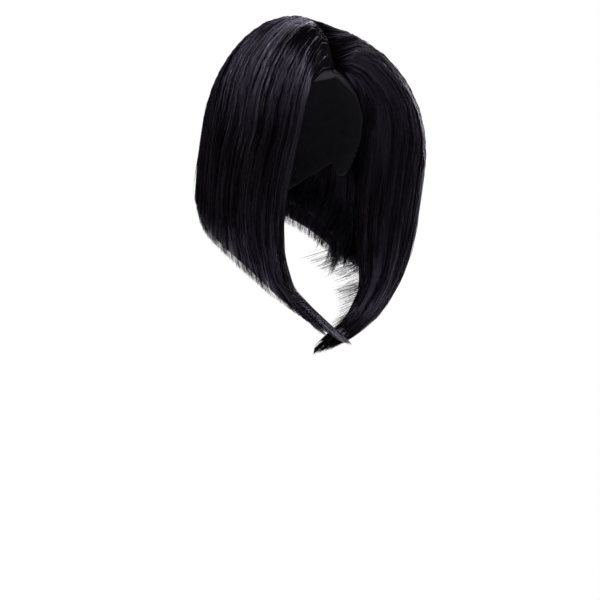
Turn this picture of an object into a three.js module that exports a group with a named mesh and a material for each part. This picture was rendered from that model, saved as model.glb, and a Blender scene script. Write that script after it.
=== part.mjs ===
// Bob wig with a centre parting: hair locks on a fitted cap, short at the nape and long in front.
// Millimetres, +Z up, face towards -Y, the wearer's left is +X.
// The origin is the top of the cap's hollow, where the wig sits on the head.
import * as THREE from "three";

// Cap: a fitted shell around a head of 56 to 57 cm
const CAP_HALF_WIDTH = 75;
const CAP_HALF_LENGTH = 80;
const CAP_DEPTH = 90;
const CAP_WALL = 2;
const CAP_ROUNDNESS = 2;
const CAP_FRONT_EDGE = 31;
const CAP_NAPE_EDGE = 152;

// Hair mass outside the cap
const SIDE_VOLUME = 41;
const FRONT_VOLUME = 35;
const BACK_VOLUME = 14;
const CROWN_VOLUME = 24;

// Lengths down from the origin
const FRONT_LENGTH = 307;
const TAIL_DIFFERENCE = 16;
const NAPE_LENGTH = 168;

// Face opening, parting and locks
const FACE_HALF_WIDTH = 45;
const PARTING_INSET = 19;
const PARTING_LENGTH = 77;
const PARTING_HALF_GAP = 1;
const ROOT_HALF_GAP = 0.2;
const STRIP_HALF_WIDTH = 4;
const STRIP_THICKNESS = 1;
const STRIP_FRONT_LAP = 1;
const STRIP_BACK_LAP = 3;
const ROOT_THICKNESS = 40;
const FALL_THICKNESS = 13;
const TIP_THICKNESS = 2.4;
const UNDER_THICKNESS = 4;
const ROOT_DEPTH = 0.6;
const TAIL_LAP = 9;
const RIB_HEIGHT = 0.9;
const HEM_TOOTH = 5;
const UNDER_DROP = 10;
const UNDER_SPREAD = 14;
const UNDER_CURL = 12;
const LOCK_CROWN = 2.2;
const LAYER_CLEARANCE = 1.8;
const CAP_CLEARANCE = 0.6;
const GAP = 0.3;

// Shares that shape the hair: where the back locks take over from the front ones, how far the front
// edge draws its neighbours in, where the tails lap, and how thickness and relief fade
const BACK_FROM = 0.34;
const BACK_BLEND = 0.34;
const EDGE_REACH = 0.3;
const LAP_FROM = 0.86;
const LAP_BLEND = 0.06;
const VALLEY_ANGLE = 0.38;
const FACE_THINNESS = 0.35;
const FACE_REACH = 0.15;
const UNDER_BLEND = 0.06;
const UNDER_THINNING = 0.65;
const CURL_FROM = 0.5;
const TIP_EASE = 0.8;
const RELIEF_FROM = 0.6;
const RELIEF_LOSS = 0.6;
const SIDE_KEEP = 1;
const UNDER_INSIDE = 0.7;
const PROBE = 0.004;

// Grids: columns and rows of each piece
const LOCK_COLUMNS = 8;
const DOME_ROWS = 9;
const FALL_ROWS = 10;
const UNDER_COLUMNS = 6;
const UNDER_ROWS = 8;
const CAP_COLUMNS = 40;
const CAP_ROWS = 8;
const STRIP_ROWS = 12;

const PARTING_FRONT = CAP_HALF_LENGTH - PARTING_INSET;
const PARTING_BACK = PARTING_LENGTH - PARTING_FRONT;
const HALF_WIDTH = CAP_HALF_WIDTH + CAP_WALL + SIDE_VOLUME;
const FRONT_REACH = CAP_HALF_LENGTH + CAP_WALL + FRONT_VOLUME;
const BACK_REACH = CAP_HALF_LENGTH + CAP_WALL + BACK_VOLUME;

// Around the head from the front edge (0) to the back centre (1):
// across as a share of the half width, along as a share of the front (-) or back (+) reach
const RING = [
  { around: 0.0, across: 0.525, along: -0.897 },
  { around: 0.1, across: 0.661, along: -0.991 },
  { around: 0.22, across: 0.805, along: -1.0 },
  { around: 0.34, across: 0.94, along: -0.835 },
  { around: 0.46, across: 1.0, along: -0.513 },
  { around: 0.6, across: 0.907, along: -0.103 },
  { around: 0.74, across: 0.705, along: 0.36 },
  { around: 0.87, across: 0.45, along: 0.81 },
  { around: 0.94, across: 0.235, along: 0.95 },
  { around: 1.0, across: 0.0, along: 1.0 },
];

// Along the parting: along from front to back, rise of the hair and valley at its root as shares
// of the crown volume, turn as the share of the length where the hair hangs free,
// root as the place at the parting of the strand that hangs here
const ROOTS = [
  { around: 0, along: 0, rise: 0.1, valley: 0.1, turn: 0.264, root: 0 },
  { around: 0.12, along: 0.13, rise: 0.75, valley: 0.66, turn: 0.334, root: 0.06 },
  { around: 0.25, along: 0.32, rise: 0.93, valley: 0.53, turn: 0.367, root: 0.15 },
  { around: 0.34, along: 0.47, rise: 1, valley: 0.22, turn: 0.365, root: 0.23 },
  { around: 0.42, along: 0.6, rise: 1.03, valley: 0.05, turn: 0.352, root: 0.32 },
  { around: 0.6, along: 0.775, rise: 1.04, valley: 0.03, turn: 0.286, root: 0.54 },
  { around: 0.8, along: 0.92, rise: 0.98, valley: 0, turn: 0.286, root: 0.78 },
  { around: 1, along: 1, rise: 0.92, valley: 0, turn: 0.286, root: 1 },
];

// Levels down the front length: width of the front and of the back locks, forward and edge along
// as shares of the front reach, edge across as a share of the face's half width
const LEVELS = [
  { down: 0.264, front: 0.925, back: 1, forward: 0.043, edgeAcross: 0.944, edgeAlong: -0.63 },
  { down: 0.423, front: 0.98, back: 0.98, forward: 0, edgeAcross: 1.022, edgeAlong: -0.661 },
  { down: 0.554, front: 0.99, back: 0.935, forward: 0, edgeAcross: 1.067, edgeAlong: -0.679 },
  { down: 0.651, front: 0.96, back: 0.905, forward: 0, edgeAcross: 1.122, edgeAlong: -0.739 },
  { down: 0.71, front: 0.92, back: 0.885, forward: 0, edgeAcross: 1.149, edgeAlong: -0.81 },
  { down: 0.765, front: 0.855, back: 0.86, forward: 0, edgeAcross: 1.131, edgeAlong: -0.868 },
  { down: 0.814, front: 0.78, back: 0.83, forward: 0, edgeAcross: 1.016, edgeAlong: -0.904 },
  { down: 0.853, front: 0.71, back: 0.81, forward: 0, edgeAcross: 0.867, edgeAlong: -0.944 },
  { down: 0.886, front: 0.62, back: 0.8, forward: 0.02, edgeAcross: 0.689, edgeAlong: -0.991 },
  { down: 0.912, front: 0.51, back: 0.8, forward: 0.06, edgeAcross: 0.444, edgeAlong: -1.041 },
  { down: 0.935, front: 0.4, back: 0.8, forward: 0.11, edgeAcross: 0.133, edgeAlong: -1.111 },
  { down: 0.961, front: 0.27, back: 0.8, forward: 0.18, edgeAcross: -0.222, edgeAlong: -1.162 },
  { down: 1, front: 0.1, back: 0.8, forward: 0.24, edgeAcross: -0.533, edgeAlong: -1.188 },
];

// Hem: how far each lock falls, from the nape length (0) to the front length (1)
const HEM = [
  { around: 0, left: 1, right: 1 },
  { around: 0.05, left: 0.97, right: 1 },
  { around: 0.1, left: 0.93, right: 0.99 },
  { around: 0.22, left: 0.79, right: 0.885 },
  { around: 0.34, left: 0.61, right: 0.695 },
  { around: 0.46, left: 0.45, right: 0.5 },
  { around: 0.6, left: 0.31, right: 0.32 },
  { around: 0.74, left: 0.13, right: 0.13 },
  { around: 0.87, left: 0.02, right: 0.02 },
  { around: 1, left: 0, right: 0 },
];

// Under layer: where its tips end, as a share of the outer hem's length at the same place
const UNDER = [
  { around: 0.42, left: 1.03, right: 0.87 },
  { around: 0.55, left: 1.03, right: 0.87 },
  { around: 0.7, left: 0.97, right: 0.9 },
  { around: 0.85, left: 0.965, right: 0.965 },
  { around: 1, left: 0.97, right: 0.97 },
];

// Cap's edge by direction, in half turns from the face to the nape,
// as a share of the way from the front edge down to the nape edge
const CAP_EDGE = [
  { turn: 0.0, down: 0.0 },
  { turn: 0.2, down: 0.17 },
  { turn: 0.36, down: 0.48 },
  { turn: 0.42, down: 0.75 },
  { turn: 0.47, down: 0.75 },
  { turn: 0.54, down: 0.64 },
  { turn: 0.62, down: 0.75 },
  { turn: 0.8, down: 1.0 },
  { turn: 1.0, down: 1.0 },
];

// Outer locks of one side, from the face to the back of the head, by their front and back limits
const LOCKS = [
  { name: "face_lock", from: 0.0, to: 0.13 },
  { name: "cheek_lock", from: 0.13, to: 0.28 },
  { name: "temple_lock", from: 0.28, to: 0.44 },
  { name: "side_lock", from: 0.44, to: 0.62 },
  { name: "back_lock", from: 0.62, to: 0.81 },
  { name: "crown_lock", from: 0.81, to: 1.0 },
];
const UNDER_LOCKS = [
  { name: "under_ear_lock", from: 0.42, to: 0.6 },
  { name: "under_back_lock", from: 0.6, to: 0.8 },
  { name: "under_nape_lock", from: 0.8, to: 1.0 },
];

const smooth = (x) => {
  const t = Math.min(1, Math.max(0, x));
  return t * t * (3 - 2 * t);
};

// Cubic curve through the rows of a table, level where the values turn back.
function curveOf(rows, key, value, scale = 1) {
  const xs = rows.map((row) => row[key]);
  const ys = rows.map((row) => row[value] * scale);
  const slopes = xs.slice(1).map((x, i) => (ys[i + 1] - ys[i]) / (x - xs[i]));
  const tangents = xs.map((x, i) => {
    if (i === 0) return slopes[0];
    if (i === xs.length - 1) return slopes[i - 1];
    if (slopes[i - 1] * slopes[i] <= 0) return 0;
    const before = x - xs[i - 1];
    const after = xs[i + 1] - x;
    return (slopes[i - 1] * after + slopes[i] * before) / (before + after);
  });
  return (q) => {
    const x = Math.min(xs[xs.length - 1], Math.max(xs[0], q));
    let i = xs.length - 2;
    while (i > 0 && x < xs[i]) i--;
    const step = xs[i + 1] - xs[i];
    const t = (x - xs[i]) / step;
    return (
      ys[i] * (1 + 2 * t) * (1 - t) ** 2 +
      tangents[i] * step * t * (1 - t) ** 2 +
      ys[i + 1] * t * t * (3 - 2 * t) +
      tangents[i + 1] * step * t * t * (t - 1)
    );
  };
}

const ringAcross = curveOf(RING, "around", "across", HALF_WIDTH);
const ringAlong = curveOf(
  RING.map((row) => ({ ...row, along: row.along * (row.along < 0 ? FRONT_REACH : BACK_REACH) })),
  "around",
  "along",
);
const rootAround = curveOf(ROOTS, "around", "root");
const rootAlong = curveOf(ROOTS, "around", "along");
const rootRise = curveOf(ROOTS, "around", "rise", CROWN_VOLUME);
const rootValley = curveOf(ROOTS, "around", "valley", CROWN_VOLUME);
const turnDepth = curveOf(ROOTS, "around", "turn", FRONT_LENGTH);
const level = {
  front: curveOf(LEVELS, "down", "front"),
  back: curveOf(LEVELS, "down", "back"),
  forward: curveOf(LEVELS, "down", "forward", FRONT_REACH),
  edgeAcross: curveOf(LEVELS, "down", "edgeAcross", FACE_HALF_WIDTH),
  edgeAlong: curveOf(LEVELS, "down", "edgeAlong", FRONT_REACH),
};
const hemShare = {
  left: curveOf(HEM, "around", "left"),
  right: curveOf(HEM, "around", "right"),
};
const underShare = {
  left: curveOf(UNDER, "around", "left"),
  right: curveOf(UNDER, "around", "right"),
};
const capEdge = curveOf(CAP_EDGE, "turn", "down", CAP_NAPE_EDGE - CAP_FRONT_EDGE);

// Depth of the hem below the origin.
function hemDepth(around, side) {
  const longest = FRONT_LENGTH - (side > 0 ? 0 : TAIL_DIFFERENCE);
  return NAPE_LENGTH + hemShare[side > 0 ? "left" : "right"](around) * (longest - NAPE_LENGTH);
}

// Horizontal share of the cap's half axes at a height, for the surface a distance outside its inner one.
function capShare(z, out) {
  const up = Math.abs(z + CAP_DEPTH) / (CAP_DEPTH + out);
  return up >= 1 ? 0 : (1 - up ** CAP_ROUNDNESS) ** (1 / CAP_ROUNDNESS);
}

// Height of that surface over a place.
function capHeight(x, y, out) {
  const share = Math.hypot(x / (CAP_HALF_WIDTH + out), y / (CAP_HALF_LENGTH + out));
  const up = Math.max(0, 1 - share ** CAP_ROUNDNESS) ** (1 / CAP_ROUNDNESS);
  return (CAP_DEPTH + out) * up - CAP_DEPTH;
}

// Radius of that surface along a horizontal direction.
function capRadius(direction, z, out) {
  const across = direction.x / (CAP_HALF_WIDTH + out);
  const along = direction.y / (CAP_HALF_LENGTH + out);
  return capShare(z, out) / Math.hypot(across, along);
}

// Clearance outside the cap's inner surface: more over the parting strip.
function seatOffset(x) {
  const beside = (Math.abs(x) - 2 * STRIP_HALF_WIDTH) / (2 * STRIP_HALF_WIDTH);
  const strip = (STRIP_THICKNESS + 2 * GAP) * (1 - smooth(beside));
  return CAP_WALL + CAP_CLEARANCE + strip;
}

// Section of the hair at a height, on the left side.
function ringPoint(around, z, side) {
  const down = -z / FRONT_LENGTH;
  const back = smooth((around - BACK_FROM) / BACK_BLEND);
  const width = level.front(down) * (1 - back) + level.back(down) * back;
  const forward = -level.forward(down) * (1 - back);
  const along = ringAlong(around) * (ringAlong(around) > 0 ? level.back(down) : 1);
  const edge = (1 - Math.min(1, around / EDGE_REACH)) ** 2;
  const edgeX = level.edgeAcross(down) - ringAcross(0) * level.front(down);
  const edgeY = level.edgeAlong(down) - (ringAlong(0) - level.forward(down));
  const lap = side * (TAIL_LAP / 2) * smooth((down - LAP_FROM) / LAP_BLEND) * (1 - back);
  return new THREE.Vector2(
    ringAcross(around) * width + edgeX * edge,
    along + forward + edgeY * edge + lap,
  );
}

// Place around of a strand at a fall: its root lies further forward than the place where it hangs.
function strandAround(hanging, fall) {
  return hanging + (rootAround(hanging) - hanging) * (1 - smooth(fall));
}

// Outer surface of the hair: fall runs from 0 at the parting over 1, where it hangs free,
// to 2 at the tips.
function outerPoint(hanging, fall, side, tooth = 0) {
  const around = strandAround(hanging, fall);
  const turn = -turnDepth(around);
  const hang = Math.max(0, fall - 1);
  const z = turn - (hemDepth(around, side) + tooth + turn) * hang;
  const ring = ringPoint(around, z, side);
  if (fall >= 1) return new THREE.Vector3(ring.x, ring.y, z);
  const angle = (Math.min(1, fall) * Math.PI) / 2;
  const rootY = -PARTING_FRONT + rootAlong(around) * (PARTING_FRONT + PARTING_BACK);
  const seat = capHeight(0, rootY, seatOffset(0)) + ROOT_DEPTH;
  const valley = rootValley(around) * (1 - smooth(angle / VALLEY_ANGLE));
  return new THREE.Vector3(
    PARTING_HALF_GAP + (ring.x - PARTING_HALF_GAP) * Math.sin(angle),
    rootY + (ring.y - rootY) * Math.sin(angle),
    turn + (seat + rootRise(around) - turn) * Math.cos(angle) - valley,
  );
}

// Way out of the cap through a point: its direction and the hair's depth down to the cap.
function depthAt(point) {
  const out = seatOffset(point.x);
  if (point.z < -CAP_DEPTH) {
    const direction = new THREE.Vector3(point.x, point.y, 0).normalize();
    const radius = Math.hypot(point.x, point.y);
    return { direction, depth: radius - capRadius(direction, point.z, out) };
  }
  const from = point.clone().add(new THREE.Vector3(0, 0, CAP_DEPTH));
  const flat = Math.hypot(from.x / (CAP_HALF_WIDTH + out), from.y / (CAP_HALF_LENGTH + out));
  const up = from.z / (CAP_DEPTH + out);
  const gauge = (flat ** CAP_ROUNDNESS + up ** CAP_ROUNDNESS) ** (1 / CAP_ROUNDNESS);
  return { direction: from.clone().normalize(), depth: from.length() * (1 - 1 / gauge) };
}

// Thickness of the outer hair: down to the cap near the parting, thin at the tips and at the face.
function lockThickness(around, fall, point, depth) {
  const hang = Math.max(0, fall - 1) ** TIP_EASE;
  const over = ROOT_THICKNESS + (FALL_THICKNESS - ROOT_THICKNESS) * smooth(fall);
  const free = FALL_THICKNESS + (TIP_THICKNESS - FALL_THICKNESS) * hang;
  const face = FACE_THINNESS + (1 - FACE_THINNESS) * smooth(around / FACE_REACH);
  const under = smooth((around - UNDER[0].around + UNDER_BLEND) / UNDER_BLEND);
  const below = smooth((-point.z - turnDepth(around)) / UNDER_DROP);
  const room = (UNDER_THICKNESS + LAYER_CLEARANCE) * under * below;
  return Math.max(STRIP_THICKNESS, Math.min((fall < 1 ? over : free) * face, depth - room));
}

// Closed solid between two grids of points, each a list of columns; sides, top and hem are closed too.
function solidBetween(outer, inner, mirrored) {
  const columns = outer.length;
  const rows = outer[0].length;
  const positions = [...outer.flat(), ...inner.flat()].flatMap((p) => [p.x, p.y, p.z]);
  const out = (c, r) => c * rows + r;
  const inn = (c, r) => columns * rows + c * rows + r;
  const index = [];
  const quad = (a, b, c, d) => {
    index.push(...(mirrored ? [a, c, b, a, d, c] : [a, b, c, a, c, d]));
  };
  for (let c = 0; c + 1 < columns; c++) {
    for (let r = 0; r + 1 < rows; r++) {
      quad(out(c, r), out(c, r + 1), out(c + 1, r + 1), out(c + 1, r));
      quad(inn(c, r), inn(c + 1, r), inn(c + 1, r + 1), inn(c, r + 1));
    }
    quad(out(c, 0), out(c + 1, 0), inn(c + 1, 0), inn(c, 0));
    quad(out(c, rows - 1), inn(c, rows - 1), inn(c + 1, rows - 1), out(c + 1, rows - 1));
  }
  for (let r = 0; r + 1 < rows; r++) {
    const last = columns - 1;
    quad(out(0, r), inn(0, r), inn(0, r + 1), out(0, r + 1));
    quad(out(last, r), out(last, r + 1), inn(last, r + 1), inn(last, r));
  }
  const geometry = new THREE.BufferGeometry();
  geometry.setAttribute("position", new THREE.Float32BufferAttribute(positions, 3));
  geometry.setIndex(index);
  geometry.computeVertexNormals();
  return geometry;
}

// Keeps a lock's side half a gap away from its limit, measured along the hair's surface.
function limited(share, lock, surface) {
  const around = lock.from + share * (lock.to - lock.from);
  if (share > 0 && share < 1) return around;
  const inward = share === 0 ? PROBE : -PROBE;
  const span = surface(around).distanceTo(surface(around + inward)) / PROBE;
  return around + (Math.sign(inward) * SIDE_KEEP * GAP) / span;
}

const place = (point, side) => new THREE.Vector3(side * point.x, point.y, point.z);

// One outer lock: ribs and a low crown across it, short and long strands along its hem.
function outerLock(lock, side) {
  const falls = [
    ...Array.from({ length: DOME_ROWS }, (_, i) => i / DOME_ROWS),
    ...Array.from({ length: FALL_ROWS + 1 }, (_, i) => 1 + i / FALL_ROWS),
  ];
  const outer = [];
  const inner = [];
  for (let c = 0; c <= LOCK_COLUMNS; c++) {
    const share = c / LOCK_COLUMNS;
    const tooth = c % 2 ? HEM_TOOTH / 2 : -HEM_TOOTH / 2;
    const outerColumn = [];
    const innerColumn = [];
    for (const fall of falls) {
      const around = limited(share, lock, (a) => outerPoint(a, fall, side));
      const point = outerPoint(around, fall, side, tooth);
      const { direction, depth } = depthAt(point);
      const thickness = lockThickness(strandAround(around, fall), fall, point, depth);
      const fade = smooth(fall / RELIEF_FROM) * (1 - RELIEF_LOSS * smooth(fall - 1));
      const relief = LOCK_CROWN * (Math.sin(Math.PI * share) - 1) + (c % 2 ? RIB_HEIGHT : 0);
      const innerPoint = point.clone().addScaledVector(direction, -thickness);
      if (fall === 0) innerPoint.x = ROOT_HALF_GAP;
      innerColumn.push(place(innerPoint, side));
      outerColumn.push(place(point.addScaledVector(direction, relief * fade), side));
    }
    outer.push(outerColumn);
    inner.push(innerColumn);
  }
  return solidBetween(outer, inner, side < 0);
}

// One lock of the under layer: it leaves the cap below the outer hair's turn, hangs inside it
// and turns in at its tips.
function underLock(lock, side) {
  const outer = [];
  const inner = [];
  const name = side > 0 ? "left" : "right";
  const surface = (around, z) => {
    const ring = ringPoint(around, z, side);
    return new THREE.Vector3(ring.x, ring.y, z);
  };
  for (let c = 0; c <= UNDER_COLUMNS; c++) {
    const share = c / UNDER_COLUMNS;
    const tooth = c % 2 ? HEM_TOOTH : -HEM_TOOTH;
    const middle = lock.from + share * (lock.to - lock.from);
    const rootZ = -turnDepth(middle) - UNDER_DROP;
    const tipZ = -hemDepth(middle, side) * underShare[name](middle) - tooth;
    const outerColumn = [];
    const innerColumn = [];
    for (let r = 0; r <= UNDER_ROWS; r++) {
      const t = r / UNDER_ROWS;
      const z = rootZ + (tipZ - rootZ) * t;
      const around = limited(share, lock, (a) => surface(a, z).multiplyScalar(UNDER_INSIDE));
      const ring = surface(around, z);
      const direction = new THREE.Vector3(ring.x, ring.y, 0).normalize();
      const hanging = (-z - turnDepth(around)) / (hemDepth(around, side) - turnDepth(around));
      const fall = Math.min(2, 1 + hanging);
      const { depth } = depthAt(ring);
      const inside = Math.hypot(ring.x, ring.y) - lockThickness(around, fall, ring, depth);
      const seat = capRadius(direction, rootZ, CAP_WALL + CAP_CLEARANCE) + UNDER_THICKNESS;
      const curl = UNDER_CURL * smooth((t - CURL_FROM) / (1 - CURL_FROM));
      const radius = Math.min(seat + UNDER_SPREAD * t, inside - LAYER_CLEARANCE) - curl;
      const thickness = UNDER_THICKNESS * (1 - UNDER_THINNING * t);
      outerColumn.push(place(direction.clone().multiplyScalar(radius).setZ(z), side));
      innerColumn.push(place(direction.clone().multiplyScalar(radius - thickness).setZ(z), side));
    }
    outer.push(outerColumn);
    inner.push(innerColumn);
  }
  return solidBetween(outer, inner, side < 0);
}

// Cap: an open shell from its crown down to the edge around the face, the ears and the nape.
function capGeometry() {
  const positions = [];
  const index = [];
  const rings = [];
  const addRing = (share, out) => {
    rings.push(positions.length / 3);
    for (let c = 0; c < CAP_COLUMNS; c++) {
      const angle = (2 * Math.PI * c) / CAP_COLUMNS;
      const turn = 1 - Math.abs(angle / Math.PI - 1);
      const edge = CAP_FRONT_EDGE + capEdge(turn);
      const last = Math.acos((CAP_DEPTH - edge) / (CAP_DEPTH + CAP_WALL));
      const z = (CAP_DEPTH + out) * Math.cos(last * share) - CAP_DEPTH;
      const flat = capShare(z, out);
      positions.push(Math.sin(angle) * (CAP_HALF_WIDTH + out) * flat);
      positions.push(-Math.cos(angle) * (CAP_HALF_LENGTH + out) * flat, z);
    }
  };
  const pole = (out) => {
    positions.push(0, 0, out);
    return positions.length / 3 - 1;
  };
  const top = pole(CAP_WALL);
  for (let r = 1; r <= CAP_ROWS; r++) addRing(r / CAP_ROWS, CAP_WALL);
  for (let r = CAP_ROWS; r >= 1; r--) addRing(r / CAP_ROWS, 0);
  const bottom = pole(0);
  const lastRing = rings[rings.length - 1];
  for (let c = 0; c < CAP_COLUMNS; c++) {
    const next = (c + 1) % CAP_COLUMNS;
    index.push(top, rings[0] + c, rings[0] + next);
    for (let r = 0; r + 1 < rings.length; r++) {
      const [a, b, d, e] = [rings[r] + c, rings[r + 1] + c, rings[r + 1] + next, rings[r] + next];
      index.push(a, b, d, a, d, e);
    }
    index.push(bottom, lastRing + next, lastRing + c);
  }
  const geometry = new THREE.BufferGeometry();
  geometry.setAttribute("position", new THREE.Float32BufferAttribute(positions, 3));
  geometry.setIndex(index);
  geometry.computeVertexNormals();
  return geometry;
}

// Parting strip: a narrow band over the middle of the cap, under the roots.
function stripGeometry() {
  const from = -PARTING_FRONT - STRIP_FRONT_LAP;
  const step = (PARTING_BACK + STRIP_BACK_LAP - from) / STRIP_ROWS;
  const ys = Array.from({ length: STRIP_ROWS + 1 }, (_, i) => from + step * i);
  const columnsOf = (out) =>
    [-1, 0, 1].map((share) => {
      const x = share * STRIP_HALF_WIDTH;
      return ys.map((y) => new THREE.Vector3(x, y, capHeight(x, y, CAP_WALL + GAP + out)));
    });
  return solidBetween(columnsOf(STRIP_THICKNESS), columnsOf(0), true);
}

const HAIR = { color: 0x0c0b0e, roughness: 0.32, metalness: 0.0 };
const UNDER_HAIR = { color: 0x09090b, roughness: 0.4, metalness: 0.0 };
const NET = { color: 0x151416, roughness: 0.85, metalness: 0.0 };
const SCALP = { color: 0x2a2426, roughness: 0.7, metalness: 0.0 };

function piece(name, geometry, finish) {
  const mesh = new THREE.Mesh(geometry, new THREE.MeshStandardMaterial(finish));
  mesh.name = name;
  return mesh;
}

const wig = new THREE.Group();
wig.add(piece("cap", capGeometry(), NET));
wig.add(piece("parting_strip", stripGeometry(), SCALP));
for (const [sideName, side] of [
  ["left", 1],
  ["right", -1],
]) {
  const half = new THREE.Group();
  for (const lock of LOCKS) {
    half.add(piece(lock.name + "_" + sideName, outerLock(lock, side), HAIR));
  }
  for (const lock of UNDER_LOCKS) {
    half.add(piece(lock.name + "_" + sideName, underLock(lock, side), UNDER_HAIR));
  }
  wig.add(half);
}

export default wig;
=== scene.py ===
"""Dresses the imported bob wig: combed hair locks, the net cap and its parting strip, studio and camera."""

import logging
import math
from dataclasses import dataclass, field
from enum import Enum
from typing import Sequence

import bpy
import numpy as np
from mathutils import Matrix, Vector


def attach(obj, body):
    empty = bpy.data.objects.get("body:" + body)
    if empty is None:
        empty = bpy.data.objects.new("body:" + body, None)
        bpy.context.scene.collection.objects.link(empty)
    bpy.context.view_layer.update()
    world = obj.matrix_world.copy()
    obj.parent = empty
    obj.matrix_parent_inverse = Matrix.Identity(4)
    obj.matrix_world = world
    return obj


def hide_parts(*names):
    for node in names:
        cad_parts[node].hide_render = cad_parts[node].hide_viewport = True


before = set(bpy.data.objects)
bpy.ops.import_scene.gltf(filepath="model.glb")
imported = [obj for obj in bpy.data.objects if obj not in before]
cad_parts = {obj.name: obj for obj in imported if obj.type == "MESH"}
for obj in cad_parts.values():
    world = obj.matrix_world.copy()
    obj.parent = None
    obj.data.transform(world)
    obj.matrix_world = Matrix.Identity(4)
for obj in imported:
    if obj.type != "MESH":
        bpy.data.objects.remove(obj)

Array = np.ndarray
Triple = tuple[float, float, float]

LOG = logging.getLogger("bob_wig")
MM = 0.001
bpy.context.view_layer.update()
HEAD_CENTRE = (0.0, 0.0, -90.0)
UNEVEN_CLUMPS = 0.42
TINY = 1e-6


class Side(Enum):
    """A half of the wig, named as the wearer's own left and right."""

    LEFT = 1
    RIGHT = -1

    @property
    def word(self) -> str:
        """The side's name as the nodes spell it."""
        return self.name.lower()

    @property
    def mirror(self) -> Array:
        """What takes points of the left half to this side."""
        return np.array([self.value, 1, 1])

    @property
    def column(self) -> int:
        """The side's column in a table with one for each half."""
        return 1 if self is Side.LEFT else 2


def smooth(x: Array) -> Array:
    """Eases from 0 to 1: 3x^2 - 2x^3 of x held between 0 and 1."""
    t = np.clip(x, 0.0, 1.0)
    return t * t * (3.0 - 2.0 * t)


@dataclass(frozen=True)
class Curve:
    """A cubic curve through stations, level where its values turn back.

    Between two stations it is the Hermite cubic of their values and slopes, and an inner slope is
    the mean of its neighbours' chord slopes, each weighted by the other chord's length.
    """

    stations: Sequence[float]
    values: Sequence[float]

    def __call__(self, where: Array) -> Array:
        """Returns the curve's values at an array of places, held at its ends.

        Args:
            where: places along the stations.

        Returns:
            An array of the same shape.
        """
        xs = np.asarray(self.stations, float)
        ys = np.asarray(self.values, float)
        gaps = np.diff(xs)
        chords = np.diff(ys) / gaps
        slopes = np.empty_like(ys)
        slopes[0], slopes[-1] = chords[0], chords[-1]
        slopes[1:-1] = (chords[:-1] * gaps[1:] + chords[1:] * gaps[:-1]) / (gaps[1:] + gaps[:-1])
        slopes[1:-1][chords[:-1] * chords[1:] <= 0] = 0.0
        x = np.clip(where, xs[0], xs[-1])
        i = np.clip(np.searchsorted(xs, x, side="right") - 1, 0, len(xs) - 2)
        step = gaps[i]
        t = (x - xs[i]) / step
        return (
            ys[i] * (1 + 2 * t) * (1 - t) ** 2
            + slopes[i] * step * t * (1 - t) ** 2
            + ys[i + 1] * t * t * (3 - 2 * t)
            + slopes[i + 1] * step * t * t * (t - 1)
        )


def table(rows: Sequence[Sequence[float]], column: int, scale: float = 1.0) -> Curve:
    """Makes a curve of one column of a table over its first column.

    Args:
        rows: the table.
        column: the column of the values.
        scale: what one unit of the column measures.

    Returns:
        The curve.
    """
    return Curve([row[0] for row in rows], [row[column] * scale for row in rows])


@dataclass(frozen=True)
class CapForm:
    """The ellipsoid shell that sits on the head, in millimetres from the top of its hollow."""

    half_width: float = 75.0
    half_length: float = 80.0
    depth: float = 90.0
    wall: float = 2.0
    front_edge: float = 31.0
    nape_edge: float = 152.0
    clearance: float = 0.6
    strip_half_width: float = 4.0
    strip_thickness: float = 1.0
    gap: float = 0.3
    edge_rows: tuple = (
        (0.0, 0.0), (0.2, 0.17), (0.36, 0.48), (0.42, 0.75), (0.47, 0.75),
        (0.54, 0.64), (0.62, 0.75), (0.8, 1.0), (1.0, 1.0),
    )

    def share(self, z: Array, out: Array) -> Array:
        """Share of the half axes at a height: sqrt(1 - ((z + depth) / (depth + out))^2)."""
        up = np.abs(z + self.depth) / (self.depth + out)
        return np.sqrt(np.clip(1.0 - up**2, 0.0, 1.0))

    def height(self, x: Array, y: Array, out: float) -> Array:
        """Height of the ellipsoid, grown by out, over a place."""
        flat = (x / (self.half_width + out)) ** 2 + (y / (self.half_length + out)) ** 2
        return (self.depth + out) * np.sqrt(np.clip(1.0 - flat, 0.0, 1.0)) - self.depth

    def edge(self, turn: Array) -> Array:
        """Depth of the cap's edge by direction, 0 at the face and 1 at the nape."""
        return self.front_edge + table(self.edge_rows, 1, self.nape_edge - self.front_edge)(turn)

    def seat(self, x: Array) -> Array:
        """Distance outside the hollow at which the hair starts, more over the parting strip."""
        beside = (np.abs(x) - 2 * self.strip_half_width) / (2 * self.strip_half_width)
        return self.wall + self.clearance + (self.strip_thickness + 2 * self.gap) * (1 - smooth(beside))


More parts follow.
